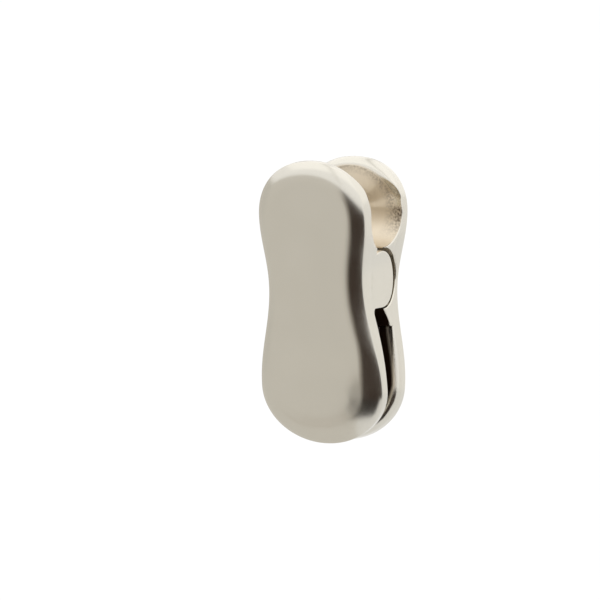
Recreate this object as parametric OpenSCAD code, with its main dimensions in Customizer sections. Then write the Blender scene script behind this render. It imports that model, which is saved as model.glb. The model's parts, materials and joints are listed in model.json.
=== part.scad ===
// A small two-armed clip that squeezes a taut wound string between two padded jaws.
// +X runs along the string, +Y from the front plate to the rear plate, +Z up the arms.
// The origin is on the string's axis, half way across the clip.

/* [Plates] */
// Half width of the upper lobe, where the fingers press
top_half_w = 5.72; // [5:0.02:6.4]
// Height of the upper lobe's centre above the string
top_centre_z = 11.7; // [11:0.1:12.5]
// Rise of the rounded end above the upper lobe's centre
top_end_r = 5.6; // [5:0.05:6]
// Half width of the waist, level with the hinge
waist_half_w = 5.1; // [4.8:0.05:5.4]
// Height of the waist above the string
waist_z = 5.35; // [4.6:0.05:6]
// Half width of the lower lobe, where the jaws are
hip_half_w = 6.57; // [5.8:0.01:7.2]
// Height of the lower lobe's widest place, below the string
hip_z = -4.85; // [-6:0.05:-4]
// Drop of the rounded end below the lower lobe's centre
bottom_end_r = 5.4; // [5:0.05:5.6]
// Fullness of the upper lobe's shoulders, 2 for an ellipse
top_power = 2.15; // [2:0.05:2.5]
// Fullness of the lower lobe's shoulders, 2 for an ellipse
bottom_power = 2.02; // [2:0.01:2.5]
// Thickness of a plate's straight side wall
wall_t = 1.6; // [1.3:0.05:2]
// Lean of each plate away from the upright
plate_lean = 7.4; // [6.5:0.1:7.6]
// Half of the gap between the plates, level with the string
half_gap = 1.42; // [1.4:0.01:1.6]

/* [Pillowed face] */
// Width of the rolled edge round the outer face
roll_w = 2.0; // [1.2:0.1:2.4]
// Slope of the rolled edge where it meets the side wall
roll_slope = 46; // [30:1:55]
// Extra rise of the face's middle above the rolled edge
crown_h = 0.1; // [0.02:0.01:0.3]

/* [Hinge] */
// Height of the hinge axis above the string
hinge_z = 5.6; // [5.4:0.05:5.8]
// Radius of the round knuckles
knuckle_r = 2.75; // [2.4:0.05:2.8]
// Distance from mid-width to the outer faces of the rear plate's knuckles
rear_knuckle_out = 2.9; // [2.7:0.05:3.1]
// Distance from mid-width to the inner faces of the rear plate's knuckles
rear_knuckle_in = 1.7; // [1.65:0.05:1.9]
// Space along the axis between a rear and a front knuckle
knuckle_gap = 0.3; // [0.25:0.05:0.4]
// Radius of the hinge pin
pin_r = 0.8; // [0.6:0.05:0.9]
// Radial running clearance of the pin in the rear knuckles
pin_clear = 0.03; // [0.01:0.01:0.1]
// Distance from mid-width to the pin's visible left end
pin_left = 5.05; // [4.8:0.05:5.1]
// Distance from mid-width to the blind end of the pin's hole
pin_right = 4.3; // [3.8:0.1:4.5]
// Thickness of the thrust washers
washer_t = 0.2; // [0.1:0.05:0.2]
// Outer radius of the thrust washers
washer_r = 2.3; // [1.8:0.1:2.5]

/* [Hollows] */
// Radius of the round hollow across the front arm above the hinge
front_hollow_r = 3.3; // [3.2:0.05:3.4]
// Height of the front hollow's axis
front_hollow_z = 11.65; // [11.6:0.05:11.8]
// Distance of the front hollow's axis behind mid-depth
front_hollow_y = 0.2; // [0.1:0.05:0.3]
// Radius of the round hollow across the rear arm above the hinge
rear_hollow_r = 3.15; // [3.1:0.05:3.2]
// Height of the rear hollow's axis
rear_hollow_z = 11.85; // [11.8:0.05:12]
// Distance of the rear hollow's axis behind mid-depth
rear_hollow_y = 0.3; // [0.2:0.05:0.4]
// Radius of the socket that clears the front knuckles
socket_r = 2.9; // [2.88:0.01:2.95]
// Height of the socket's axis above the hinge axis
socket_rise = 0.08; // [0.06:0.01:0.1]
// Distance of the socket's axis behind the hinge axis
socket_back = 0.38; // [0.3:0.01:0.4]

/* [Jaws] */
// Radius of the string that the jaws grip
string_r = 1.2; // [1:0.05:1.4]
// Length of the jaw liners along the string
liner_l = 8.4; // [7:0.1:8.8]
// Height of the liner's upper edge above the string's axis
liner_up = 0.85; // [0.5:0.05:0.9]
// Depth of the liner's lower edge below the string's axis
liner_down = 5.2; // [4:0.1:6]
// Depth of the pocket that each liner is glued into
pocket_d = 0.8; // [0.5:0.05:0.9]
// Space between the two liners over and under the string
liner_space = 0.9; // [0.7:0.05:1.2]

/* [Spring] */
// Radius of the spring wire
wire_r = 0.22; // [0.15:0.01:0.25]
// Mean radius of the spring's coil
coil_r = 1.3; // [1.1:0.05:1.4]
// Turns in the spring's coil, an odd number of halves
coil_turns = 5.5; // [4.5:1:5.5]
// Height of the tips of the spring's legs
leg_tip_z = 10.8; // [9.5:0.1:11.5]

/* [Hidden] */
$fn = 96;

SILVER = [0.76, 0.73, 0.66];
STEEL = [0.62, 0.62, 0.62];
BRASS = [0.72, 0.60, 0.36];
LEATHER = [0.24, 0.15, 0.10];

lobe_steps = 12;        // straight steps round a quarter of a lobe
side_steps = 9;         // straight steps between a lobe and the waist
flush_in = 0.02;        // the knuckles stand this far inside the side wall
through = 20;           // longer than anything it cuts
front_knuckle_in = rear_knuckle_out + knuckle_gap;
rear_knuckle_half = (rear_knuckle_out - rear_knuckle_in) / 2;
relief_r = knuckle_r + 0.2;
slot_half_w = rear_knuckle_in;
slot_low_z = 3;
slot_high_z = 12.4;
comb_root = 0.4;        // depth that the knuckle blocks reach into their plates
block_top_z = 12.2;     // height at which both blocks have run out into their plates
front_horn_y = 1.2;     // how far before mid-depth the front block's upper edge stands
rear_horn_y = 0.15;     // how near to mid-depth the rear block's thin lip comes, over the knuckles
lip_y = 0.2;            // how near to mid-depth the rear block comes, under the knuckles
foot_z = 0.9;           // height of the rear block's foot above the string
roll_r = roll_w / sin(roll_slope);
roll_rise = roll_r * (1 - cos(roll_slope));

// Half width of a plate at height z, in the plate's own plane
function half_width(z) =
    z > top_centre_z ? top_half_w * lobe((z - top_centre_z) / top_end_r, top_power) :
    z > waist_z ? blend(waist_half_w, top_half_w, (z - waist_z) / (top_centre_z - waist_z)) :
    z > hip_z ? blend(hip_half_w, waist_half_w, (z - hip_z) / (waist_z - hip_z)) :
    hip_half_w * lobe((hip_z - z) / bottom_end_r, bottom_power);

// Share of a lobe's half width left at a share t of the way to its end
function lobe(t, power) = pow(max(0, 1 - pow(min(1, t), power)), 1 / power);

// Smooth step from a to b, level at both ends
function blend(a, b, t) = a + (b - a) * (1 - cos(180 * t)) / 2;

// Heights of the outline's points up the right-hand side, closer together round the ends
side_z = concat(
    [for (i = [0:lobe_steps - 1]) hip_z - bottom_end_r * cos(90 * i / lobe_steps)],
    [for (i = [0:side_steps - 1]) hip_z + (waist_z - hip_z) * i / side_steps],
    [for (i = [0:side_steps - 1]) waist_z + (top_centre_z - waist_z) * i / side_steps],
    [for (i = [0:lobe_steps]) top_centre_z + top_end_r * sin(90 * i / lobe_steps)]);
side_count = len(side_z);

// The closed outline, anticlockwise from the bottom
outline = concat(
    [for (i = [0:side_count - 1]) [half_width(side_z[i]), side_z[i]]],
    [for (i = [side_count - 2:-1:1]) [-half_width(side_z[i]), side_z[i]]]);
ring_n = len(outline);

// Inward unit normal of the outline at point i
function inward(i) =
    let (d = outline[(i + 1) % ring_n] - outline[(i + ring_n - 1) % ring_n])
    [-d[1], d[0]] / norm(d);

// Rise of the rolled edge at a distance in from the side wall
function roll_height(d) = sqrt(roll_r * roll_r - pow(roll_w - d, 2)) - roll_r * cos(roll_slope);

// Rings of the plate from the inner face, over the side wall, to the crown: [inset, depth]
rings = concat([[0, 0], [0, wall_t]],
    [for (s = [0.12, 0.3, 0.55, 1]) [s * roll_w, wall_t + roll_height(s * roll_w)]],
    [[1.75 * roll_w, wall_t + roll_rise + crown_h]]);

// A plate's own frame: inner face on the XZ plane, outer face towards -Y, then leaned forward
module lean() {
    translate([0, -half_gap, 0])
        rotate([plate_lean, 0, 0])
            children();
}

// The bare pillowed plate, in its own frame
module plate_body() {
    points = [for (r = rings) for (i = [0:ring_n - 1])
        let (p = outline[i] + r[0] * inward(i)) [p[0], -r[1], p[1]]];
    sides = [for (k = [0:len(rings) - 2]) for (i = [0:ring_n - 1])
        let (j = (i + 1) % ring_n, a = k * ring_n, b = a + ring_n)
            each [[a + i, b + i, b + j], [a + i, b + j, a + j]]];
    inner_face = [for (i = [0:ring_n - 1]) i];
    crown_face = [for (i = [ring_n - 1:-1:0]) (len(rings) - 1) * ring_n + i];
    polyhedron(points, concat([inner_face, crown_face], sides), convexity = 4);
}

// Everything inside the plate's side walls, from just under its inner face inwards
module within_outline() {
    shrink = 1 - flush_in / waist_half_w;
    lean()
        translate([0, through / 2, 0])
            rotate([90, 0, 0])
                linear_extrude(height = through / 2 + comb_root + 0.2)
                    scale([shrink, 1])
                        polygon(outline);
}

// A side profile of [y, z] points carried across the clip from x = a to x = b
module across(a, b, profile) {
    translate([a, 0, 0])
        rotate([90, 0, 90])
            linear_extrude(height = b - a)
                polygon(profile);
}

// A cylinder along X from x = a to x = b
module rod(a, b, r, y = 0, z = hinge_z) {
    translate([a, y, z])
        rotate([0, 90, 0])
            cylinder(r = r, h = b - a);
}

// Depth of a plate's inner face from mid-depth at height z
function inner_y(z) = half_gap + z * tan(plate_lean);

// The slot that holds the spring and lets its legs reach up both arms
module spring_slot() {
    lean()
        translate([-slot_half_w, 0, slot_low_z])
            cube([2 * slot_half_w, through / 2, slot_high_z - slot_low_z]);
}

// The shallow pocket behind a jaw liner, open towards the string
module liner_pocket() {
    lean()
        translate([-liner_l / 2, -pocket_d, -liner_down])
            cube([liner_l, pocket_d + half_gap, liner_down + liner_up]);
}

// The plate nearer the player's bow: it carries the two outer knuckles and the pin
module front_plate() {
    under_z = hinge_z - knuckle_r;
    block = [[-inner_y(block_top_z) - comb_root, block_top_z], [-front_horn_y, block_top_z],
             [-front_horn_y, hinge_z + knuckle_r - comb_root], [0, hinge_z], [0, under_z],
             [-inner_y(under_z) - comb_root, under_z]];
    color(SILVER) difference() {
        union() {
            lean() plate_body();
            intersection() {
                within_outline();
                union() {
                    across(-through / 2, through / 2, block);
                    rod(-through / 2, through / 2, knuckle_r);
                }
            }
        }
        rod(-through / 2, through / 2, front_hollow_r, front_hollow_y, front_hollow_z);
        rod(-front_knuckle_in, front_knuckle_in, relief_r);
        spring_slot();
        rod(-through / 2, pin_right, pin_r);
        liner_pocket();
    }
}

// The plate behind the string: it carries the two inner knuckles and the sockets
module rear_plate() {
    block = [[inner_y(block_top_z) + comb_root, block_top_z], [rear_horn_y, block_top_z],
             [rear_horn_y, hinge_z + knuckle_r], [lip_y, hinge_z],
             [lip_y, hinge_z + socket_rise - socket_r], [inner_y(foot_z), foot_z],
             [inner_y(foot_z) + comb_root, foot_z]];
    color(SILVER) difference() {
        union() {
            difference() {
                union() {
                    mirror([0, 1, 0]) lean() plate_body();
                    intersection() {
                        mirror([0, 1, 0]) within_outline();
                        across(-through / 2, through / 2, block);
                    }
                }
                rod(-through / 2, through / 2, rear_hollow_r, rear_hollow_y, rear_hollow_z);
                for (side = [-1, 1])
                    translate([side * (rear_knuckle_out + through / 2), 0, 0])
                        rod(-through / 2, through / 2, socket_r, socket_back, hinge_z + socket_rise);
                mirror([0, 1, 0]) spring_slot();
                mirror([0, 1, 0]) liner_pocket();
            }
            for (side = [-1, 1])
                translate([side * (rear_knuckle_in + rear_knuckle_out) / 2, 0, 0])
                    rod(-rear_knuckle_half, rear_knuckle_half, knuckle_r);
        }
        rod(-rear_knuckle_out - 1, rear_knuckle_out + 1, pin_r + pin_clear);
    }
}

// The plain steel pin, pressed into the front knuckles from the left
module hinge_pin() {
    color(STEEL) rod(-pin_left, pin_right, pin_r);
}

// A thin ring between a front and a rear knuckle
module washer(side) {
    color(BRASS)
        translate([side * (rear_knuckle_out + knuckle_gap / 2), 0, 0])
            difference() {
                rod(-washer_t / 2, washer_t / 2, washer_r);
                rod(-washer_t, washer_t, pin_r + 2 * pin_clear);
            }
}

module left_washer() {
    washer(-1);
}

module right_washer() {
    washer(1);
}

// A glued pad with half of the string's round bed in it
module jaw_liner() {
    color(LEATHER) difference() {
        intersection() {
            liner_pocket();
            translate([-through / 2, -through - liner_space / 2, -through / 2])
                cube(through);
        }
        rod(-through / 2, through / 2, string_r, 0, 0);
    }
}

module front_jaw_liner() {
    jaw_liner();
}

module rear_jaw_liner() {
    mirror([0, 1, 0]) jaw_liner();
}

// Centre line of the spring: down the front leg, round the coil, up the rear leg
coil_steps = 16;                                     // steps in one turn of the coil
coil_half_l = (coil_turns * 2.2 * wire_r) / 2;
leg_tip_y = inner_y(leg_tip_z) - wire_r / cos(plate_lean) - 0.03;
spring_path = concat(
    [[-coil_half_l, -leg_tip_y, leg_tip_z]],
    [for (i = [0:coil_turns * coil_steps])
        let (turn = 180 + 360 * i / coil_steps)
        [-coil_half_l + 2 * coil_half_l * i / (coil_turns * coil_steps),
         coil_r * cos(turn), hinge_z + coil_r * sin(turn)]],
    [[coil_half_l, leg_tip_y, leg_tip_z]]);
wire_sides = 8;

// Direction of the spring's centre line at point i
function heading(i) =
    let (d = spring_path[min(i + 1, len(spring_path) - 1)] - spring_path[max(i - 1, 0)])
    d / norm(d);

// A ring of points round the wire at point i, its first axis always across the clip
function wire_ring(i) =
    let (t = heading(i), u0 = [1, 0, 0] - t[0] * t, u = u0 / norm(u0), v = cross(t, u))
    [for (k = [0:wire_sides - 1])
        spring_path[i] + wire_r * (cos(360 * k / wire_sides) * u + sin(360 * k / wire_sides) * v)];

// The wire spring that turns the front plate to close the jaws
module torsion_spring() {
    last = len(spring_path) - 1;
    points = [for (i = [0:last]) each wire_ring(i)];
    skin = [for (i = [0:last - 1]) for (k = [0:wire_sides - 1])
        let (m = (k + 1) % wire_sides, a = i * wire_sides, b = a + wire_sides)
            each [[a + k, b + k, b + m], [a + k, b + m, a + m]]];
    start_face = [for (k = [0:wire_sides - 1]) k];
    end_face = [for (k = [wire_sides - 1:-1:0]) last * wire_sides + k];
    color(STEEL) polyhedron(points, concat([start_face, end_face], skin), convexity = 10);
}

rear_plate();
front_plate();
hinge_pin();
torsion_spring();
left_washer();
right_washer();
rear_jaw_liner();
front_jaw_liner();
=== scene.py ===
import json
import math

import bpy
import bmesh
import numpy as np
from mathutils import Matrix, Vector


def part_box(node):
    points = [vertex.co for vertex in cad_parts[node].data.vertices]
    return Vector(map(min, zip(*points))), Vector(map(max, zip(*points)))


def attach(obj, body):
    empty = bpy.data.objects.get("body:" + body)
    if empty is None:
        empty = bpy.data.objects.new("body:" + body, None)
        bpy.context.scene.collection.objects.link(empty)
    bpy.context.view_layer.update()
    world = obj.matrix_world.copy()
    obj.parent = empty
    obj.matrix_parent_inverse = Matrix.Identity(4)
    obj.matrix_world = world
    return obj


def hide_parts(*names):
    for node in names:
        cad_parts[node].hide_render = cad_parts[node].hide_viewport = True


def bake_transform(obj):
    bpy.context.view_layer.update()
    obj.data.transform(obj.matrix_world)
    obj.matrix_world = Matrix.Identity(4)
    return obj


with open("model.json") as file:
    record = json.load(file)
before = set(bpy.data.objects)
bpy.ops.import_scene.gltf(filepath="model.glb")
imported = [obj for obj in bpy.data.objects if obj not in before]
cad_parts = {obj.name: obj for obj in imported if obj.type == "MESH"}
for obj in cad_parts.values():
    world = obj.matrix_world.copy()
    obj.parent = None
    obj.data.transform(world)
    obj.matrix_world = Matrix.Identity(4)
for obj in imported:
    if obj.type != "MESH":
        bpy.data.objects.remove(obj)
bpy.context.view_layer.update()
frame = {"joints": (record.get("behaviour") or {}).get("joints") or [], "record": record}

# ---------------------------------------------------------------------------------------------
# Camera
# A long lens, a forearm's length from the clip, looks a little down on the front plate and past
# its right-hand edge. The clip hangs in the middle of the view.

lens_mm, sensor_mm = 217.8, 36.0
camera_azimuth, camera_elevation = math.radians(28), math.radians(5.5)
camera_distance = 0.350
look_left, look_up = 0.00322, 0.00335
into_view = Vector((-math.sin(camera_azimuth) * math.cos(camera_elevation),
                    math.cos(camera_azimuth) * math.cos(camera_elevation),
                    -math.sin(camera_elevation)))
view_right = Vector((math.cos(camera_azimuth), math.sin(camera_azimuth), 0))
view_up = view_right.cross(into_view)

camera = bpy.data.objects.new("camera", bpy.data.cameras.new("camera"))
camera.data.lens = lens_mm
camera.data.sensor_width = sensor_mm
camera.data.clip_start, camera.data.clip_end = 0.001, 100
camera.location = view_up * look_up - view_right * look_left - into_view * camera_distance
camera.rotation_euler = into_view.to_track_quat("-Z", "Y").to_euler()
bpy.context.scene.collection.objects.link(camera)
bpy.context.scene.camera = camera

# ---------------------------------------------------------------------------------------------
# Studio
# A pale table top out to the horizon, white light from all round and above, and a dark flag by
# the camera, which only reflections see. It draws the dark line down the edge of polished metal.

floor_z = -0.12
floor_half = 30.0


def linear(hex_colour):
    """sRGB hex to linear light: the low end is a straight line, the rest a power of 2.4."""
    share = np.array([int(hex_colour[i:i + 2], 16) for i in (1, 3, 5)]) / 255
    low, high = share / 12.92, ((share + 0.055) / 1.055) ** 2.4
    return (*np.where(share <= 0.04045, low, high).tolist(), 1.0)


def add_node(tree, kind, settings=None, **links):
    """Adds a node. Settings are its properties, or input sockets by number or name; links are
    input sockets, named or as _0, _1, fed by the output socket given."""
    node = tree.nodes.new(kind)
    for key, value in (settings or {}).items():
        if isinstance(key, str) and hasattr(node, key):
            setattr(node, key, value)
        else:
            node.inputs[key].default_value = value
    for key, source in links.items():
        socket = node.inputs[int(key[1:])] if key[1:].isdigit() else node.inputs[key.replace("_", " ")]
        tree.links.new(source, socket)
    return node


def new_material(name):
    """An empty material with its Principled shader already wired to the output."""
    material = bpy.data.materials.new(name)
    material.use_nodes = True
    material.node_tree.nodes.clear()
    tree = material.node_tree
    shader = add_node(tree, "ShaderNodeBsdfPrincipled")
    add_node(tree, "ShaderNodeOutputMaterial", Surface=shader.outputs[0])
    return material, tree, shader


def stage_panel(name, corners, material, camera_sees=True):
    """A flat four-cornered sheet that belongs to the studio and not to the clip."""
    mesh = bpy.data.meshes.new(name)
    mesh.from_pydata([tuple(c) for c in corners], [], [(0, 1, 2, 3)])
    panel = bpy.data.objects.new(name, mesh)
    bpy.context.scene.collection.objects.link(panel)
    mesh.materials.append(material)
    panel.visible_camera = camera_sees
    return panel


# Matt white paper gives the eye one soft, even tone and no reflection of its own.
paper, tree, shader = new_material("table_paper_matt")
shader.inputs["Base Color"].default_value = linear("#e9e9e8")
shader.inputs["Roughness"].default_value = 0.9
shader.inputs["Specular IOR Level"].default_value = 0.0
stage_panel("floor", [(-floor_half, -floor_half, floor_z), (floor_half, -floor_half, floor_z),
                      (floor_half, floor_half, floor_z), (-floor_half, floor_half, floor_z)], paper)


def reflected_panel(name, corners, hex_colour, strength):
    """A glowing or dark sheet that the clip's polished faces mirror, and nothing else sees."""
    material, tree, shader = new_material(name)
    shader.inputs["Base Color"].default_value = linear("#000000")
    shader.inputs["Specular IOR Level"].default_value = 0.0
    shader.inputs["Emission Color"].default_value = linear(hex_colour)
    shader.inputs["Emission Strength"].default_value = strength
    panel = stage_panel(name, corners, material, camera_sees=False)
    panel.visible_shadow = False
    panel.visible_diffuse = False


def beside(azimuth, distance, z):
    """A point at a distance from the clip, azimuth degrees to the right of the front."""
    turn = math.radians(azimuth)
    return distance * math.sin(turn), -distance * math.cos(turn), z


def standing_panel(name, azimuths, distance, bottom, tops, hex_colour, strength):
    """A reflected panel on edge beside the clip, from one azimuth to another, its top level or
    sloping from the height at the first to the height at the second."""
    left, right = azimuths
    reflected_panel(name, [beside(left, distance, bottom), beside(right, distance, bottom),
                           beside(right, distance, tops[1]), beside(left, distance, tops[0])],
                    hex_colour, strength)


def lying_panel(name, places, hex_colour, strength):
    """A reflected panel on the table, its corners at [azimuth, distance] places round the clip."""
    reflected_panel(name, [beside(*place, on_floor) for place in places], hex_colour, strength)


on_floor = floor_z + 0.001
flag_far, card_far = 0.24, 0.9
card_top, fade_top, highest = 0.22, 0.4, 0.8
softbox_z = 0.42

# The dark flag with its foot draws the dark line, and its paler edge lets the line fade out.
standing_panel("dark_flag", (6, 66), flag_far, on_floor, (0.055, -0.012), "#5a4a40", 0.5)
lying_panel("dark_flag_foot", ((-14, 0.34), (56, 0.36), (46, 0.09), (-12, 0.12)), "#4a4440", 0.5)
lying_panel("low_shade", ((-62, 0.165), (-10, 0.17), (-10, 0.12), (-62, 0.12)), "#fff3e6", 0.6)
standing_panel("dark_flag_edge", (-4, 6), flag_far + 0.01, -0.1, (0.0, 0.03), "#fff6ea", 0.42)
# The grey cards in front and on the left set the tone of the broad faces.
standing_panel("grey_card", (-65, 6), card_far, on_floor, (card_top, card_top), "#fffcf6", 0.84)
standing_panel("grey_card_left", (-165, -65), card_far, on_floor, (card_top, card_top), "#fffcf6", 0.78)
standing_panel("grey_card_fade", (-165, 10), card_far, card_top, (fade_top, fade_top), "#fffdf9", 0.9)
standing_panel("grey_card_top", (-165, 10), card_far, fade_top, (highest, highest), "#fffdf9", 1.0)
reflected_panel("grey_card_foot", [(-1.2, -1.0, on_floor), (0.0, -1.0, on_floor), (0.0, 0.02, on_floor),
                                   (-1.2, 0.9, on_floor)], "#fffcf6", 0.82)
standing_panel("side_card", (95, 178), card_far, on_floor, (0.14, 0.14), "#fffefc", 1.12)
# Softboxes above and behind light the upper rims and the hollow.
reflected_panel("top_softbox", [(-0.5, -0.45, softbox_z), (0.6, -0.45, softbox_z), (0.6, 0.5, softbox_z),
                                (-0.5, 0.5, softbox_z)], "#ffffff", 1.5)
reflected_panel("back_softbox", [(-0.6, 0.8, 0.15), (0.9, 0.8, 0.15), (0.9, 0.5, 0.8), (-0.6, 0.5, 0.8)],
                "#fffefc", 1.35)

world = bpy.data.worlds.new("studio_light")
bpy.context.scene.world = world
world.use_nodes = True
tree = world.node_tree
tree.nodes.clear()
light = add_node(tree, "ShaderNodeBackground", {0: linear("#fefeff"), 1: 1.27})
add_node(tree, "ShaderNodeOutputWorld", _0=light.outputs[0])
bpy.context.scene.view_settings.view_transform = "Standard"

# ---------------------------------------------------------------------------------------------
# The two plates
# Each is one lost-wax casting in brass: a pillowed leaf with the hinge block standing on its
# inner face. It is tumbled smooth outside, left a little rough in the hollow, and silver plated.
# Sizes are in millimetres.

MM = 0.001
hinge_z = frame["joints"][0]["pos_m"][2] / MM
hip_half_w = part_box("front_plate")[1].x / MM
top_half_w, top_centre_z, top_end_r, top_power = 5.72, 11.7, 5.6, 2.15
waist_half_w, waist_z = 5.1, 5.35
hip_z, bottom_end_r, bottom_power = -4.85, 5.4, 2.02
wall_t, plate_lean, half_gap = 1.575, math.radians(7.4), 1.42
roll_w, roll_slope, crown_h = 2.0, math.radians(46), 0.1
low_crown_h, low_crown_w = 0.4, 3.1            # the lower lobe swells more, and nearer its edge
low_crown_top, low_crown_full = 1.0, -4.2      # heights where that swelling starts and is whole
dish_d = 0.22                     # how much the top of the hollow dips below its upright wall
crisp_w = 0.07                    # run of the small fillet between side wall and rolled edge
knuckle_r, front_knuckle_in = 2.75, 3.2
rear_knuckle_in, rear_knuckle_out = 1.7, 2.9
front_horn_y, rear_horn_y = 1.2, 0.15
hollows = {-1: (0.2, 11.65, 3.3), 1: (0.3, 11.85, 3.15)}      # axis y, axis z and radius
socket_y, socket_z, socket_r = 0.38, hinge_z + 0.08, 2.9
mouth_top_z = 2.95                # the gap between the jaws reaches up to about this height
slot_low_z, slot_high_z = 3.0, 12.4
slot_reach = 12.0                 # how far the slot's cutter reaches in from its plate
pin_r, pin_clear, pin_right = 0.8, 0.03, 4.3
liner_half_l, liner_up, liner_down, pocket_d = 4.2, 0.85, 5.2, 0.8
hair = 0.01                       # keeps apart two surfaces that would otherwise coincide
root = 1.0                        # how deep the block is rooted in its plate
beyond = 9.0                      # cutters that open at a side wall end this far from the middle
rear_bore_half = 4.0              # the rear knuckles' bore is cut this far from the middle
inner_skin = 0.75                 # how far into the wall a face still counts as an inner one
relief_gap = 0.2                  # room round the rear knuckles in the front plate's block
edge_r = 0.16                     # rounding of the block's and hollows' edges


def half_width(z):
    """Half width at height z in the plate's own plane: two lobes, each a superellipse beyond its
    centre, joined over the waist by cosine steps."""
    def lobe(t, power):
        """Share of the full half width, at share t of the way from the lobe's centre to its end."""
        return np.maximum(0, 1 - np.clip(t, 0, 1) ** power) ** (1 / power)

    def step(a, b, t):
        """From a to b by half a cosine wave."""
        return a + (b - a) * (1 - np.cos(np.pi * np.clip(t, 0, 1))) / 2

    z = np.asarray(z, float)
    upper = step(waist_half_w, top_half_w, (z - waist_z) / (top_centre_z - waist_z))
    lower = step(hip_half_w, waist_half_w, (z - hip_z) / (waist_z - hip_z))
    return np.select([z > top_centre_z, z > waist_z, z > hip_z],
                     [top_half_w * lobe((z - top_centre_z) / top_end_r, top_power), upper, lower],
                     hip_half_w * lobe((hip_z - z) / bottom_end_r, bottom_power))


def evenly(points, count, closed=False):
    """The same line through count points, an equal way along it from each to the next."""
    line = np.vstack([points, points[:1]]) if closed else np.asarray(points, float)
    run = np.concatenate([[0], np.cumsum(np.linalg.norm(np.diff(line, axis=0), axis=1))])
    wanted = np.linspace(0, run[-1], count, endpoint=not closed)
    return np.stack([np.interp(wanted, run, line[:, k]) for k in range(line.shape[1])], axis=1)


def inward_normals(ring):
    """Unit normals of an anticlockwise ring, turned a quarter left of its own direction."""
    way = np.roll(ring, -1, axis=0) - np.roll(ring, 1, axis=0)
    normal = np.stack([-way[:, 1], way[:, 0]], axis=1)
    return normal / np.linalg.norm(normal, axis=1, keepdims=True)


def leaf_outline(per_side=150):
    """The leaf's outline, anticlockwise from its bottom point, the same on both sides."""
    share = np.linspace(0, np.pi / 2, 400)
    z = np.concatenate([hip_z - bottom_end_r * np.cos(share), np.linspace(hip_z, top_centre_z, 800)[1:],
                        top_centre_z + top_end_r * np.sin(share[1:])])
    right = evenly(np.stack([half_width(z), z], axis=1), per_side)
    return np.vstack([right, right[-2:0:-1] * (-1, 1)])


def ease(t):
    """0 to 1 along a smooth step, level at both ends."""
    t = np.clip(t, 0, 1)
    return t * t * (3 - 2 * t)


def inner_rim(z):
    """Radius of the soft inner rim at height z: small at the hinge, large round both ends."""
    more_at_top, more_at_foot = 0.85, 0.65
    return edge_r + more_at_top * ease((z - 13.8) / 2.8) + more_at_foot * ease((1.5 - z) / 6)


def inner_dish(inset, z, side):
    """How much deeper than flat the upper inner face lies. It carries the round hollow straight up
    from its far side, then dips a little and runs out 1 mm inside the top of the rim. Lower down it
    opens sideways through the side walls."""
    hollow_y, _, hollow_r = hollows[side]
    upright = (side * hollow_y + hollow_r - half_gap - z * math.sin(plate_lean)) / math.cos(plate_lean)
    depth = np.maximum(upright, 0) + dish_d * ease((z - 12.2) / 2.2) * ease((17.2 - z) / 3.4)
    edge = 1 - 2.7 * np.exp((12.9 - z) / 1.9)
    return depth * ease((z - 11.0) / 0.8) * ease((inset - edge) / 1.3)


def solid(name, rings, caps=True):
    """A closed mesh from rings of points, each joined to the next. With caps, the first and last
    ring are drawn together to a point or a line; without, the last ring joins the first."""
    count, around = rings.shape[:2]
    ring, point = np.meshgrid(np.arange(count - 1 if caps else count), np.arange(around), indexing="ij")
    next_ring, next_point = (ring + 1) % count, (point + 1) % around
    quads = np.stack([ring * around + point, ring * around + next_point,
                      next_ring * around + next_point, next_ring * around + point], axis=-1)
    mesh = bpy.data.meshes.new(name)
    mesh.from_pydata(rings.reshape(-1, 3).tolist(), [], quads.reshape(-1, 4).tolist())
    shape = bmesh.new()
    shape.from_mesh(mesh)
    bmesh.ops.remove_doubles(shape, verts=shape.verts, dist=1e-5)
    bmesh.ops.dissolve_degenerate(shape, edges=shape.edges, dist=1e-6)
    bmesh.ops.recalc_face_normals(shape, faces=shape.faces)
    shape.to_mesh(mesh)
    shape.free()
    piece = bpy.data.objects.new(name, mesh)
    bpy.context.scene.collection.objects.link(piece)
    return piece


def lean(points, side):
    """Plate plane to clip: local [x, depth, z] leans out by plate_lean, then stands half_gap from
    the string; side is -1 for the front plate and 1 for the rear."""
    x, depth, z = np.moveaxis(points, -1, 0)
    out = depth * math.cos(plate_lean) + z * math.sin(plate_lean) + half_gap
    up = z * math.cos(plate_lean) - depth * math.sin(plate_lean)
    return np.stack([x, side * out, up], axis=-1)


def wall_x(y, z, side):
    """Half width of the leaf where the clip's own y and z are those of a point of its block."""
    return half_width(z * math.cos(plate_lean) + (side * y - half_gap) * math.sin(plate_lean))


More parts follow.
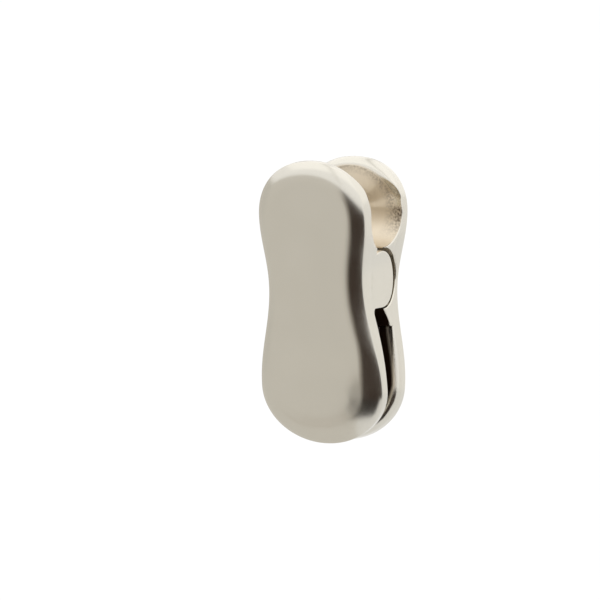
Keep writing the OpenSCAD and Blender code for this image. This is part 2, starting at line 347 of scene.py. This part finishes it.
def leaf(name, side):
    """The pillowed leaf. Each ring is the outline moved in by an inset, at a depth outward from the
    inner face: round the soft inner rim, up the side wall, over a small fillet and along the rolled
    edge, which is an arc. Past the deepest inset the rings shrink to a line up the middle."""
    outline = leaf_outline()
    normal = inward_normals(outline)
    rim = inner_rim(outline[:, 1])
    roll_r = roll_w / math.sin(roll_slope)
    deepest, middle = 3.0, 2.2                # last true inset, and the way from it to the middle
    rim_end = 1.35                            # inset where the soft inner rim has run out
    spine = np.clip(outline[:, 1], hip_z + 0.6, top_centre_z - 0.4)
    rings = []

    def ring(inset, depth, shrink=0.0):
        """Adds the outline moved in by the inset, then drawn towards the line up the middle."""
        flat = outline + np.reshape(inset, (-1, 1)) * normal
        centre = np.stack([0 * spine, spine], axis=1)
        flat = flat * (1 - shrink) + centre * shrink
        depth = np.broadcast_to(depth, len(flat))
        rings.append(np.stack([flat[:, 0], depth, flat[:, 1]], axis=1))

    def face_height(inset):
        """Depth of the outer face at an inset: the rolled edge, the crown and the fuller foot."""
        to_crest = roll_w - np.minimum(inset, roll_w)
        roll = np.sqrt(roll_r ** 2 - to_crest ** 2) - roll_r * math.cos(roll_slope)
        crown = crown_h * ease((inset - roll_w) / (deepest + middle - roll_w))
        lowness = ease((low_crown_top - outline[:, 1]) / (low_crown_top - low_crown_full))
        fuller = low_crown_h * lowness * ease((inset - 0.5) / low_crown_w)
        return wall_t + roll + crown + fuller

    for shrink in (1, 0.8, 0.6, 0.4, 0.2, 0):
        ring(deepest, inner_dish(deepest, outline[:, 1] * (1 - shrink) + spine * shrink, side), shrink)
    for inset in (2.7, 2.4, 2.1, 1.8, 1.5, rim_end):
        ring(inset, inner_dish(inset, outline[:, 1], side))
    for share in (0.8, 0.6, 0.4, 0.2):
        inset = rim + share * (rim_end - rim)
        ring(inset, inner_dish(inset, outline[:, 1], side))
    for angle in np.radians(np.linspace(0, 90, 9)):
        inset = rim * (1 - np.sin(angle))
        ring(inset, rim * (1 - np.cos(angle)) + inner_dish(inset, outline[:, 1], side))
    start = rim + inner_dish(0, outline[:, 1], side)
    for share in (0.25, 0.5, 0.75):
        ring(0.0, start + share * (wall_t - crisp_w - start))
    for t in np.linspace(0, 1, 6):            # a quadratic curve round the crisp edge
        ring(t * t * crisp_w, (1 - t) ** 2 * (wall_t - crisp_w) + 2 * t * (1 - t) * wall_t
             + t * t * face_height(crisp_w))
    for inset in np.concatenate([np.linspace(crisp_w, roll_w, 18)[1:], [2.3, 2.65, 3.0]]):
        ring(inset, face_height(inset))
    for shrink in (0.15, 0.3, 0.45, 0.6, 0.75, 0.9, 1):
        ring(deepest, face_height(deepest + middle * shrink), shrink)
    return solid(name, lean(np.array(rings), side))


def carried(name, profile, centre, reach, rounding, count=160):
    """A closed side profile of [y, z] points carried across the clip as far as reach(y, z) on both
    hands, its long edges rounded there; each end closes by shrinking to the centre."""
    section = evenly(np.array(profile, float), count, closed=True)
    normal = inward_normals(section)
    rings = []
    ends = [(rounding, 0.0, scale) for scale in (0, 0.15, 0.3, 0.45, 0.6, 0.75, 0.88, 0.96, 1)]
    ends += [(rounding * (1 - math.sin(a)), rounding * (1 - math.cos(a)), 1)
             for a in np.radians([20, 40, 60, 75, 90])]
    for hand, order in ((-1, ends), (1, ends[::-1])):
        for inset, back, scale in order:
            flat = np.array(centre) + (section + inset * normal - np.array(centre)) * scale
            x = hand * (reach(flat[:, 0], flat[:, 1]) - back)
            rings.append(np.column_stack([x, flat]))
    return solid(name, np.array(rings))


def tunnel(name, section, centre, x_from, x_to, side=None):
    """A cutter along X with a closed section of [y, z] points. With a side, an end that lies past
    the leaf's wall opens there like a trumpet, so that the edge left on the wall is rounded."""
    outward = -inward_normals(section)
    turns = np.radians([0, 15, 30, 45, 60, 72, 82])
    wall = wall_x(*(section + outward * edge_r / 2).T, side) if side else None
    middle = np.broadcast_to(centre, section.shape)
    rings = []
    for hand, x in ((-1, x_from), (1, x_to)):
        open_end = bool(side) and hand * x > waist_half_w
        spread = edge_r * (1 - math.cos(turns[-1])) if open_end else 0.0
        end = [np.column_stack([np.full(len(section), x), middle]),
               np.column_stack([np.full(len(section), x), section + outward * spread])]
        for turn in turns[::-1] if open_end else ():
            end.append(np.column_stack([hand * (wall - edge_r * (1 - math.sin(turn))),
                                        section + outward * edge_r * (1 - math.cos(turn))]))
        rings += end if hand < 0 else end[::-1]
    return solid(name, np.array(rings))


def leaned_box(name, x_half, depths, heights, side):
    """A box in the plate's own frame: x, depth outward from the inner face, height."""
    ring = [(-1, 0), (1, 0), (1, 1), (-1, 1)]
    rings = [[(0, depths[0], sum(heights) / 2)] * 4]
    rings += [[(a * x_half, depth, heights[b]) for a, b in ring] for depth in depths]
    rings += [[(0, depths[1], sum(heights) / 2)] * 4]
    return solid(name, lean(np.array(rings, float), side))


def combine(piece, others, operation):
    """Joins or cuts with each of the others in turn, keeps the result and removes them."""
    for other in others:
        modifier = piece.modifiers.new(other.name, "BOOLEAN")
        modifier.operation, modifier.solver, modifier.object = operation, "MANIFOLD", other
    bpy.context.view_layer.update()
    made = bpy.data.meshes.new_from_object(piece.evaluated_get(bpy.context.evaluated_depsgraph_get()))
    piece.modifiers.clear()
    piece.data = made
    for other in others:
        bpy.data.objects.remove(other)
    return piece


def complete(piece, material, body, replaced, smooth_angle=30):
    """Millimetres to metres, smooth shading with edges kept above an angle, finish and frame."""
    piece.data.transform(Matrix.Scale(MM, 4))
    piece.data.shade_smooth()
    piece.data.set_sharp_from_angle(angle=math.radians(smooth_angle))
    piece.data.materials.clear()
    piece.data.materials.append(material)
    if body:
        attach(piece, body)
    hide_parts(replaced)
    return piece


def inner_y(z):
    """Distance of a leaf's inner face from mid-depth at height z."""
    return half_gap + z * math.tan(plate_lean)


def arc(y, z, r, start, end, count=40):
    """Points round a circle from one angle to another, in degrees from +Y towards +Z."""
    a = np.radians(np.linspace(start, end, count))
    return np.column_stack([y + r * np.cos(a), z + r * np.sin(a)]).tolist()


def curve(start, control, end, count=14):
    """Points along a quadratic curve that leaves start and reaches end heading for the control."""
    t = np.linspace(0, 1, count)[:, None]
    return ((1 - t) ** 2 * start + 2 * t * (1 - t) * np.array(control) + t * t * end).tolist()


def circle(y, z, r, count=144):
    """A closed ring of points, anticlockwise."""
    return np.array(arc(y, z, r, 0, 360, count + 1)[:-1])


def mark_roughness_and_painted_light(piece, side):
    """Stores at each face corner how rough the surface was left: 1 in the round hollow, the sockets
    and the slot, which the tumbling stones never reached, rising from 0 at the rim of the inner
    face to 1 inside it, and 0 on the outside. Between the jaws it goes on to 2. The material also
    reads it for painted light: a warmer painted reflection where it is 1 or more, and painted
    shade in dark brown under the hollow's rim and near black between the jaws."""
    mesh = piece.data
    normals, corners = np.zeros(len(mesh.polygons) * 3, np.float32), np.zeros(len(mesh.loops), np.int32)
    sizes, points = np.zeros(len(mesh.polygons), np.int32), np.zeros(len(mesh.vertices) * 3, np.float32)
    mesh.polygons.foreach_get("normal", normals)
    mesh.polygons.foreach_get("loop_total", sizes)
    mesh.loops.foreach_get("vertex_index", corners)
    mesh.vertices.foreach_get("co", points)
    normal = np.repeat(normals.reshape(-1, 3), sizes, axis=0)
    x, y, z = points.reshape(-1, 3)[corners].T
    near, nearby = 0.05, 0.9                  # tolerance of a surface, and of the outline's height
    faces_in, across = -side * normal[:, 1] > 0.3, np.abs(normal[:, 0]) < 0.35
    up = z * math.cos(plate_lean) + (side * y - half_gap) * math.sin(plate_lean)
    inset = np.minimum(half_width(up + nearby), half_width(up - nearby)) - np.abs(x)
    face = faces_in * ease((inset - 0.1) / 0.7)
    proud = (side * y < inner_y(z) - near) & across
    hollow_y, hollow_z, hollow_r = hollows[side]
    hollow = (np.abs(np.hypot(y - hollow_y, z - hollow_z) - hollow_r) < near) & across
    inner_half = side * y < inner_y(z) + inner_skin
    rough_and_painted_light = np.where(proud | hollow, 1.0, np.where(inner_half, face, 0))
    # Painted shade: between the jaws the value goes on to 2, which the material paints near black.
    rough_and_painted_light = np.where((z < mouth_top_z) & inner_half, 2 * rough_and_painted_light, rough_and_painted_light)
    mesh.attributes.new("as_cast_and_painted_light", "FLOAT", "CORNER").data.foreach_set("value", rough_and_painted_light.astype(np.float32))


def noise(tree, size, detail, where, **more):
    """Soft noise from 0 to 1, in clouds about this many millimetres across."""
    settings = {"Scale": 1 / (size * MM), "Detail": detail, **more}
    return add_node(tree, "ShaderNodeTexNoise", settings, Vector=where).outputs["Fac"]


def ranged(tree, value, start=0.0, end=1.0, low=0.0, high=1.0):
    """The value moved from between start and end to between low and high, and kept there."""
    return add_node(tree, "ShaderNodeMapRange", {1: start, 2: end, 3: low, 4: high}, _0=value).outputs[0]


def toned(tree, share, first, second):
    """A colour from the first to the second as share rises; the first is a hex code or a socket."""
    mix = add_node(tree, "ShaderNodeMix", {"data_type": "RGBA", 7: linear(second)}, _0=share)
    if isinstance(first, str):
        mix.inputs[6].default_value = linear(first)
    else:
        tree.links.new(first, mix.inputs[6])
    return mix.outputs[2]


def bumped(tree, shader, height, distance, strength):
    """Relief in the surface, its distance in millimetres and its strength a number or a socket."""
    bump = add_node(tree, "ShaderNodeBump", {"Distance": distance * MM}, Height=height)
    if isinstance(strength, float):
        bump.inputs["Strength"].default_value = strength
    else:
        tree.links.new(strength, bump.inputs["Strength"])
    tree.links.new(bump.outputs[0], shader.inputs["Normal"])


# Silver plate over a tumbled casting gives the eye a warm satin mirror with a very fine, even grain.
# The hollow was only wire-brushed, so it is rougher and streaked. Its warmer tone is a painted
# reflection, and the dark specks under its rim and the black faces between the jaws are painted shade.
satin_silver, tree, shader = new_material("silver_plate_tumbled")
shader.inputs["Metallic"].default_value = 1.0
spot = add_node(tree, "ShaderNodeTexCoord").outputs["Object"]
as_cast_and_painted_light = add_node(tree, "ShaderNodeAttribute", {"attribute_name": "as_cast_and_painted_light"}).outputs["Fac"]
cloud = noise(tree, 4, 3.0, spot)
polished = toned(tree, cloud, "#cac6bb", "#cfcbc1")
# Painted reflection: where the attribute is 1 or more the colour turns warmer, standing in for the warm
# light the hollow's silver walls throw on each other.
tone_with_painted_reflection = toned(tree, as_cast_and_painted_light, polished, "#dbd0bd")
# Painted shade: a dark brown mask under the top rim of the hollow, broken into specks, and near black on
# the faces between the jaws, where the attribute is 2.
side_on = add_node(tree, "ShaderNodeMapping", {"Scale": (1, 0, 1)}, Vector=spot)
lobe_centre = (0, 0, top_centre_z * MM)
from_lobe = add_node(tree, "ShaderNodeVectorMath", {"operation": "DISTANCE", 1: lobe_centre},
                     _0=side_on.outputs[0])
rim_painted_shade = ranged(tree, from_lobe.outputs["Value"], 3.7 * MM, 5.5 * MM, 0.0, 0.75)
height = add_node(tree, "ShaderNodeSeparateXYZ", _0=spot).outputs["Z"]
upward = ranged(tree, height, 9.2 * MM, 11.5 * MM)
painted_shade_under_rim = add_node(tree, "ShaderNodeMath", {"operation": "MULTIPLY"}, _0=rim_painted_shade, _1=upward)
specks = ranged(tree, noise(tree, 0.2, 3.0, spot), 0.35, 0.65, 0.15, 1.2)
painted_shade_level = add_node(tree, "ShaderNodeMath", {"operation": "MULTIPLY_ADD"}, _0=painted_shade_under_rim.outputs[0],
                      _1=specks, _2=as_cast_and_painted_light)
painted_shade_dark = ranged(tree, painted_shade_level.outputs[0], 1.0, 1.9)
# The colour runs to dark brown where the painted shade falls.
tree.links.new(toned(tree, painted_shade_dark, tone_with_painted_reflection, "#3a281c"), shader.inputs["Base Color"])
polished_gloss = ranged(tree, cloud, 0.3, 0.7, 0.19, 0.25)
gloss = add_node(tree, "ShaderNodeMix", {3: 0.52}, _0=as_cast_and_painted_light, _2=polished_gloss)
tree.links.new(gloss.outputs[0], shader.inputs["Roughness"])
grain = noise(tree, 0.25, 2.0, spot)
brush_way = add_node(tree, "ShaderNodeMapping", {"Scale": (1.0, 0.12, 0.12)}, Vector=spot)
brushing = noise(tree, 0.22, 3.0, brush_way.outputs[0])
relief = add_node(tree, "ShaderNodeMix", _0=as_cast_and_painted_light, _2=grain, _3=brushing)
bumped(tree, shader, relief.outputs[0], 0.02, ranged(tree, as_cast_and_painted_light, 0.0, 1.0, 0.04, 0.6))


def plate_piece(side):
    """One plate: the leaf and its block joined, then the hollow, slot, pocket and bores cut."""
    plate = leaf("front_plate_cast" if side < 0 else "rear_plate_cast", side)
    top, low = hollows[side][1], hinge_z - knuckle_r
    axis = (0, hinge_z)
    if side < 0:                              # down the leaf, a fairing, the barrel and the horn
        fade_z, fair_z, horn_turn = -0.6, 2.2, 115.5
        fade, fair = np.array([-inner_y(fade_z) - root, fade_z]), np.array([-inner_y(fair_z), fair_z])
        shape = [[-inner_y(top) - root, top], fade.tolist()]
        shape += curve(fade, [-inner_y(1.2), 1.4], fair)
        shape += curve(fair, [-inner_y(low), low], np.array([-1.2, low]))
        shape += arc(0, hinge_z, knuckle_r, -90, horn_turn)
        shape += [[-front_horn_y, top]]
        centre = (-1.7, 6.6)
    else:                                     # the horn, the back of the sockets, a rounded foot
        back_y, foot_z = 0.2, 0.97
        slope_end, foot = np.array([0.95, 1.3]), np.array([1.4, foot_z])
        shape = [[inner_y(top) + root, top], [rear_horn_y, top], [rear_horn_y, hinge_z + knuckle_r],
                 [back_y, hinge_z], [back_y, low]]
        shape += curve(np.array([back_y, low]), [0.78, 2.0], slope_end)
        shape += curve(slope_end, [1.02, foot_z], foot)
        shape += [[inner_y(foot_z) + root, foot_z]]
        centre = (1.6, 6.2)
    block = carried("block", shape, centre, lambda y, z: wall_x(y, z, side) - hair, edge_r)
    combine(plate, [block], "UNION")
    cutters = [tunnel("hollow", circle(*hollows[side]), hollows[side][:2], -beyond, beyond, side),
               leaned_box("slot", rear_knuckle_in, (-slot_reach, 0), (slot_low_z, slot_high_z), side),
               leaned_box("pocket", liner_half_l, (-half_gap, pocket_d), (-liner_down, liner_up), side)]
    if side < 0:
        room = circle(*axis, knuckle_r + relief_gap)
        cutters += [tunnel("relief", room, axis, -front_knuckle_in, front_knuckle_in),
                    tunnel("bore", circle(*axis, pin_r), axis, -beyond, pin_right)]
    else:
        socket, socket_axis = circle(socket_y, socket_z, socket_r), (socket_y, socket_z)
        cutters += [tunnel("left_socket", socket, socket_axis, -beyond, -rear_knuckle_out, side),
                    tunnel("right_socket", socket, socket_axis, rear_knuckle_out, beyond, side)]
    combine(plate, cutters, "DIFFERENCE")
    if side > 0:
        knuckle = circle(*axis, knuckle_r)
        inside = rear_knuckle_in + hair
        combine(plate, [tunnel("left_knuckle", knuckle, axis, -rear_knuckle_out, -inside),
                        tunnel("right_knuckle", knuckle, axis, inside, rear_knuckle_out)], "UNION")
        bore = circle(*axis, pin_r + pin_clear)
        combine(plate, [tunnel("bore", bore, axis, -rear_bore_half, rear_bore_half)], "DIFFERENCE")
    mark_roughness_and_painted_light(plate, side)
    return plate


complete(plate_piece(-1), satin_silver, "front_arm", "front_plate")
complete(plate_piece(1), satin_silver, "rear_arm", "rear_plate")

# ---------------------------------------------------------------------------------------------
# Hinge pin
# A ground steel pin, pressed in from the left through the front knuckles. Its ends are chamfered
# and a little domed, and the left one is all that shows, in the mouth of its hole.

pin_left = -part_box("hinge_pin")[0].x / MM


def turned(name, profile, closed=False, around=96):
    """A profile of [x, radius] points turned round the hinge axis. An open profile starts and ends
    on the axis; a closed one makes a ring."""
    profile = np.asarray(profile, float)
    angle = np.linspace(0, 2 * np.pi, around, endpoint=False)
    rings = np.stack([profile[:, :1] + 0 * angle, profile[:, 1:] * np.cos(angle),
                      hinge_z + profile[:, 1:] * np.sin(angle)], axis=-1)
    return solid(name, rings, caps=not closed)


def chamfered_end(x, radius, hand):
    """Half a profile from the middle of a domed end out to the shank, past a small chamfer."""
    dome, chamfer = 0.06, 0.12
    share = np.linspace(0, 1, 8)
    out = share * (radius - chamfer)
    points = np.column_stack([x - hand * dome * share ** 2, out])
    return np.vstack([points, [x - hand * (dome + chamfer), radius]])


# Ground steel gives the eye a cool, even sheen with hairline scratches round the shank.
ground_steel, tree, shader = new_material("steel_ground")
shader.inputs["Metallic"].default_value = 1.0
shader.inputs["Base Color"].default_value = linear("#c3c2bf")
spot = add_node(tree, "ShaderNodeTexCoord").outputs["Object"]
along = add_node(tree, "ShaderNodeMapping", {"Scale": (1.0, 0.06, 0.06)}, Vector=spot)
scratches = noise(tree, 0.05, 2.0, along.outputs[0])
tree.links.new(ranged(tree, scratches, low=0.2, high=0.36), shader.inputs["Roughness"])
bumped(tree, shader, scratches, 0.004, 0.4)

left_end = chamfered_end(-pin_left, pin_r, -1)
right_end = chamfered_end(pin_right, pin_r, 1)[::-1]
shank = np.column_stack([np.linspace(-pin_left, pin_right, 12)[1:-1], np.full(10, pin_r)])
complete(turned("hinge_pin_steel", np.vstack([left_end, shank, right_end])),
         ground_steel, "front_arm", "hinge_pin")

# ---------------------------------------------------------------------------------------------
# Thrust washers
# Two thin brass rings stamped from sheet, their edges softened by the punch. They lie between the
# front and rear knuckles and keep them from rubbing.

washer_r = (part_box("left_washer")[1].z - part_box("left_washer")[0].z) / 2 / MM
washer_bore, punch_r = pin_r + 2 * pin_clear, 0.05

# Stamped brass gives the eye a yellow metal, duller and browner in soft patches where it tarnished.
stamped_brass, tree, shader = new_material("brass_stamped")
shader.inputs["Metallic"].default_value = 1.0
spot = add_node(tree, "ShaderNodeTexCoord").outputs["Object"]
tarnish = noise(tree, 0.9, 4.0, spot)
tree.links.new(toned(tree, tarnish, "#c9a864", "#a98a4d"), shader.inputs["Base Color"])
tree.links.new(ranged(tree, tarnish, low=0.24, high=0.42), shader.inputs["Roughness"])

for name in ("left_washer", "right_washer"):
    low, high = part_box(name)[0].x / MM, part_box(name)[1].x / MM
    quarter = np.radians(np.linspace(0, 90, 5))
    rounds = [(high - punch_r, washer_r - punch_r, 0), (low + punch_r, washer_r - punch_r, 90),
              (low + punch_r, washer_bore + punch_r, 180), (high - punch_r, washer_bore + punch_r, 270)]
    profile = np.vstack([np.column_stack([x + punch_r * np.cos(quarter + math.radians(turn)),
                                          r + punch_r * np.sin(quarter + math.radians(turn))])
                         for x, r, turn in rounds])
    complete(turned(name + "_brass", profile, closed=True), stamped_brass,
             "rear_arm", name)

# ---------------------------------------------------------------------------------------------
# Torsion spring
# Five and a half turns of hard-drawn steel wire round the pin. Its two legs reach up the slots and
# push the arms apart, so the jaws close.

wire_r, coil_r, coil_turns, leg_tip_z = 0.22, 1.3, 5.5, 10.8
coil_pitch = 2.2 * wire_r
leg_gap = 0.03                    # between each leg's tip and its plate
coil_half_l = coil_turns * coil_pitch / 2
leg_tip_y = inner_y(leg_tip_z) - wire_r / math.cos(plate_lean) - leg_gap


def wire_path():
    """Down the front leg, round the coil as a helix along X, and up the rear leg."""
    turn = np.pi + 2 * np.pi * np.linspace(0, coil_turns, int(coil_turns * 32) + 1)
    coil = np.column_stack([np.linspace(-coil_half_l, coil_half_l, len(turn)), coil_r * np.cos(turn),
                            hinge_z + coil_r * np.sin(turn)])
    share = np.linspace(0, 1, 16)[:-1, None]
    front_tip = np.array([-coil_half_l, -leg_tip_y, leg_tip_z])
    rear_tip = np.array([coil_half_l, leg_tip_y, leg_tip_z])
    return np.vstack([front_tip + share * (coil[0] - front_tip), coil,
                      (rear_tip + share * (coil[-1] - rear_tip))[::-1]])


def wire(name, path, radius, sides=14):
    """A round wire along a path: each ring lies square to it, its first axis as near X as can be.
    Round ends are rings that shrink by a cosine as they move on by a sine."""
    heading = np.gradient(path, axis=0)
    heading /= np.linalg.norm(heading, axis=1, keepdims=True)
    end = np.radians([90, 60, 30])
    size = np.concatenate([np.cos(end), np.ones(len(path)), np.cos(end[::-1])]) * radius
    path = np.vstack([path[:1] - heading[:1] * radius * np.sin(end)[:, None], path,
                      path[-1:] + heading[-1:] * radius * np.sin(end[::-1])[:, None]])
    heading = np.vstack([heading[:1]] * 3 + [heading] + [heading[-1:]] * 3)
    first = np.array([1.0, 0, 0]) - heading[:, :1] * heading
    first /= np.linalg.norm(first, axis=1, keepdims=True)
    second = np.cross(heading, first)
    angle = np.linspace(0, 2 * np.pi, sides, endpoint=False)[None, :, None]
    ring = np.cos(angle) * first[:, None] + np.sin(angle) * second[:, None]
    return solid(name, path[:, None] + size[:, None, None] * ring)


# Hard-drawn wire gives the eye a grey steel, mottled where the die's soap film has stayed on.
drawn_wire, tree, shader = new_material("spring_steel_drawn")
shader.inputs["Metallic"].default_value = 1.0
spot = add_node(tree, "ShaderNodeTexCoord").outputs["Object"]
soap_film = noise(tree, 0.12, 3.0, spot)
tree.links.new(toned(tree, soap_film, "#8f8d8a", "#aeaba6"), shader.inputs["Base Color"])
tree.links.new(ranged(tree, soap_film, low=0.22, high=0.4), shader.inputs["Roughness"])

spring = complete(wire("torsion_spring_wire", wire_path(), wire_r), drawn_wire, None,
                  "torsion_spring")
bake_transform(spring)

# ---------------------------------------------------------------------------------------------
# Jaw liners
# Two pads of dark brown leather, suede side out, each glued in the pocket of its plate. Half of
# the string's round bed is cut in each.

string_r = frame["record"]["mounts"][0]["dims"]["r_mm"]
pad_face_y, pad_edge = 0.45, 0.14
pad_middle_y, pad_middle_z = 2.05, -0.3
bed_low, bed_high = -68, 52       # degrees round the string that each pad's bed covers


def seat(depth, height):
    """A corner of the pocket, in the clip's own [y, z]."""
    _, y, z = lean(np.array([0.0, depth, height]), 1)
    return [float(y), float(z)]


# Suede gives the eye a near-black brown with a soft, uneven nap that hardly shines.
suede, tree, shader = new_material("leather_suede_brown")
shader.inputs["Sheen Weight"].default_value = 0.25
shader.inputs["Sheen Roughness"].default_value = 0.6
shader.inputs["Roughness"].default_value = 0.95
shader.inputs["Specular IOR Level"].default_value = 0.2
spot = add_node(tree, "ShaderNodeTexCoord").outputs["Object"]
nap = noise(tree, 0.14, 5.0, spot, Roughness=0.7)
tree.links.new(toned(tree, nap, "#1d120b", "#3b271a"), shader.inputs["Base Color"])
bumped(tree, shader, nap, 0.06, 0.8)

for side, node, body in ((-1, "front_jaw_liner", "front_arm"), (1, "rear_jaw_liner", "rear_arm")):
    foot, head = seat(pocket_d, -liner_down), seat(pocket_d, liner_up)
    low_z = seat((pad_face_y - half_gap + liner_down * math.sin(plate_lean)) / math.cos(plate_lean),
                 -liner_down)[1]
    bed = arc(0, 0, string_r, bed_low, bed_high, 30)
    section = np.array([foot, head] + bed[::-1] + [[pad_face_y, low_z]])
    profile = evenly(section * (side, 1), 150, closed=True)
    if side < 0:
        profile = profile[::-1]
    pad = carried(node + "_suede", profile, (side * pad_middle_y, pad_middle_z),
                  lambda y, z: liner_half_l + 0 * y, pad_edge)
    complete(pad, suede, body, node, smooth_angle=40)
